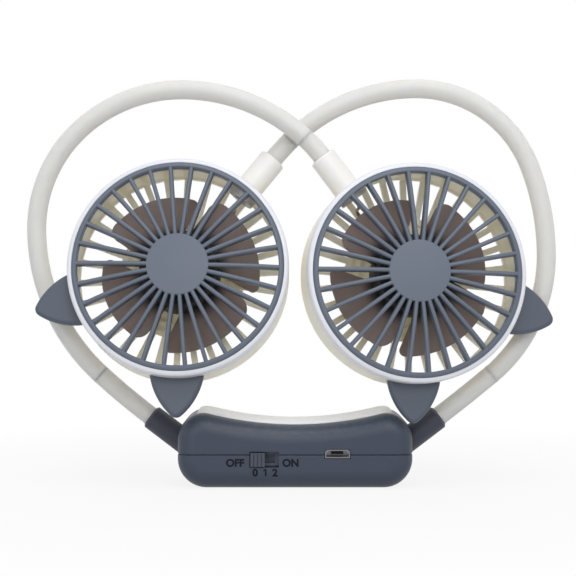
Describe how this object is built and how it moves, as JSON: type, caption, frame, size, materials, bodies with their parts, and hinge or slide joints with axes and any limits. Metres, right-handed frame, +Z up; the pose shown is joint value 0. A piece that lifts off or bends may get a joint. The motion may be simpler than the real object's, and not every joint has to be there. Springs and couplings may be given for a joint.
{
  "type": "electric neck fan",
  "caption": "Electric neck fan: eared fan heads with domed radial grilles on crossed, bendable arms that rise from a slim battery box with a slide switch and a charging socket.",
  "frame": {"origin": "centre of the battery box's flat base", "axes": "+X to the right as seen from the switch side, +Y away from the switch side, +Z up"},
  "size_m": [0.1681, 0.0384, 0.1286],
  "materials": {
    "box_plastic": "satin moulded plastic",
    "pad_silicone": "soft matte silicone",
    "knob_plastic": "ribbed satin plastic",
    "switch_plastic": "moulded black plastic",
    "socket_steel": "plated sheet steel",
    "tongue_plastic": "black plastic",
    "board_laminate": "green solder mask",
    "cell_can": "shrink sleeve on a metal can",
    "screw_steel": "zinc plated",
    "boot_rubber": "matte moulded rubber",
    "sleeve_silicone": "matte silicone",
    "gooseneck_steel": "plain wound steel",
    "lead_insulation": "insulated wire",
    "white_plastic": "satin to glossy moulded plastic",
    "grille_plastic": "satin moulded plastic",
    "ear_plastic": "satin moulded plastic",
    "impeller_plastic": "satin moulded plastic",
    "motor_steel": "plated steel",
    "bush_brass": "turned"
  },
  "bodies": {
    "battery_box": {"outer_shell": "box_plastic", "neck_side_shell": "box_plastic", "neck_pad": "pad_silicone", "battery_cell": "cell_can", "circuit_board": "board_laminate", "charging_socket": "socket_steel", "socket_tongue": "tongue_plastic", "switch_body": "switch_plastic", "case_screws": "screw_steel", "board_screws": "screw_steel", "left_boot": "boot_rubber", "left_sleeve_root": "sleeve_silicone", "right_boot": "boot_rubber", "right_sleeve_root": "sleeve_silicone"},
    "switch_slider": {"switch_knob": "knob_plastic"},
    "left_arm": {"left_sleeve_loop": "sleeve_silicone", "left_sleeve_tip": "sleeve_silicone", "left_gooseneck": "gooseneck_steel", "left_arm_leads": "lead_insulation"},
    "left_head": {"left_grille": "grille_plastic", "left_bezel": "white_plastic", "left_rear_housing": "white_plastic", "left_collar": "white_plastic", "left_outer_ear": "ear_plastic", "left_lower_ear": "ear_plastic", "left_motor_can": "motor_steel", "left_motor_end_bell": "switch_plastic", "left_motor_bush": "bush_brass", "left_motor_leads": "lead_insulation"},
    "left_fan": {"left_impeller": "impeller_plastic", "left_shaft": "motor_steel"},
    "right_arm": {"right_sleeve_loop": "sleeve_silicone", "right_sleeve_tip": "sleeve_silicone", "right_gooseneck": "gooseneck_steel", "right_arm_leads": "lead_insulation"},
    "right_head": {"right_grille": "grille_plastic", "right_bezel": "white_plastic", "right_rear_housing": "white_plastic", "right_collar": "white_plastic", "right_outer_ear": "ear_plastic", "right_lower_ear": "ear_plastic", "right_motor_can": "motor_steel", "right_motor_end_bell": "switch_plastic", "right_motor_bush": "bush_brass", "right_motor_leads": "lead_insulation"},
    "right_fan": {"right_impeller": "impeller_plastic", "right_shaft": "motor_steel"}
  },
  "joints": [
    {"name": "switch_slide", "type": "slide", "parent": "battery_box", "child": "switch_slider", "axis": [1, 0, 0], "range_m": [0, 0.004]},
    {"name": "left_arm_lean", "type": "hinge", "parent": "battery_box", "child": "left_arm", "pos_m": [-0.05394, -0.00001, 0.02771], "axis": [1, 0, 0], "range_deg": [-30, 0], "deforming": ["left_sleeve_root", "left_gooseneck", "left_arm_leads"]},
    {"name": "right_arm_lean", "type": "hinge", "parent": "battery_box", "child": "right_arm", "pos_m": [0.05425, 0, 0.02781], "axis": [1, 0, 0], "range_deg": [-30, 0], "deforming": ["right_sleeve_root", "right_gooseneck", "right_arm_leads"]},
    {"name": "left_head_tilt", "type": "hinge", "parent": "right_arm", "child": "left_head", "pos_m": [-0.00436, 0.00105, 0.10599], "axis": [-1, 0, 0], "range_deg": [0, 30], "deforming": ["right_sleeve_tip", "right_gooseneck", "right_arm_leads"]},
    {"name": "right_head_tilt", "type": "hinge", "parent": "left_arm", "child": "right_head", "pos_m": [0.00605, -0.00558, 0.1063], "axis": [-1, 0, 0], "range_deg": [0, 30], "deforming": ["left_sleeve_tip", "left_gooseneck", "left_arm_leads"]},
    {"name": "left_fan_spin", "type": "hinge", "parent": "left_head", "child": "left_fan", "pos_m": [-0.03615, -0.01608, 0.069], "axis": [0.0003, -0.9822, 0.1879], "continuous": true},
    {"name": "right_fan_spin", "type": "hinge", "parent": "right_head", "child": "right_fan", "pos_m": [0.03793, -0.01657, 0.06708], "axis": [0.1237, -0.9848, 0.1215], "continuous": true}
  ],
  "couplings": [
    {"joint": "right_arm_lean", "follows": "left_arm_lean", "ratio": 1}
  ]
}
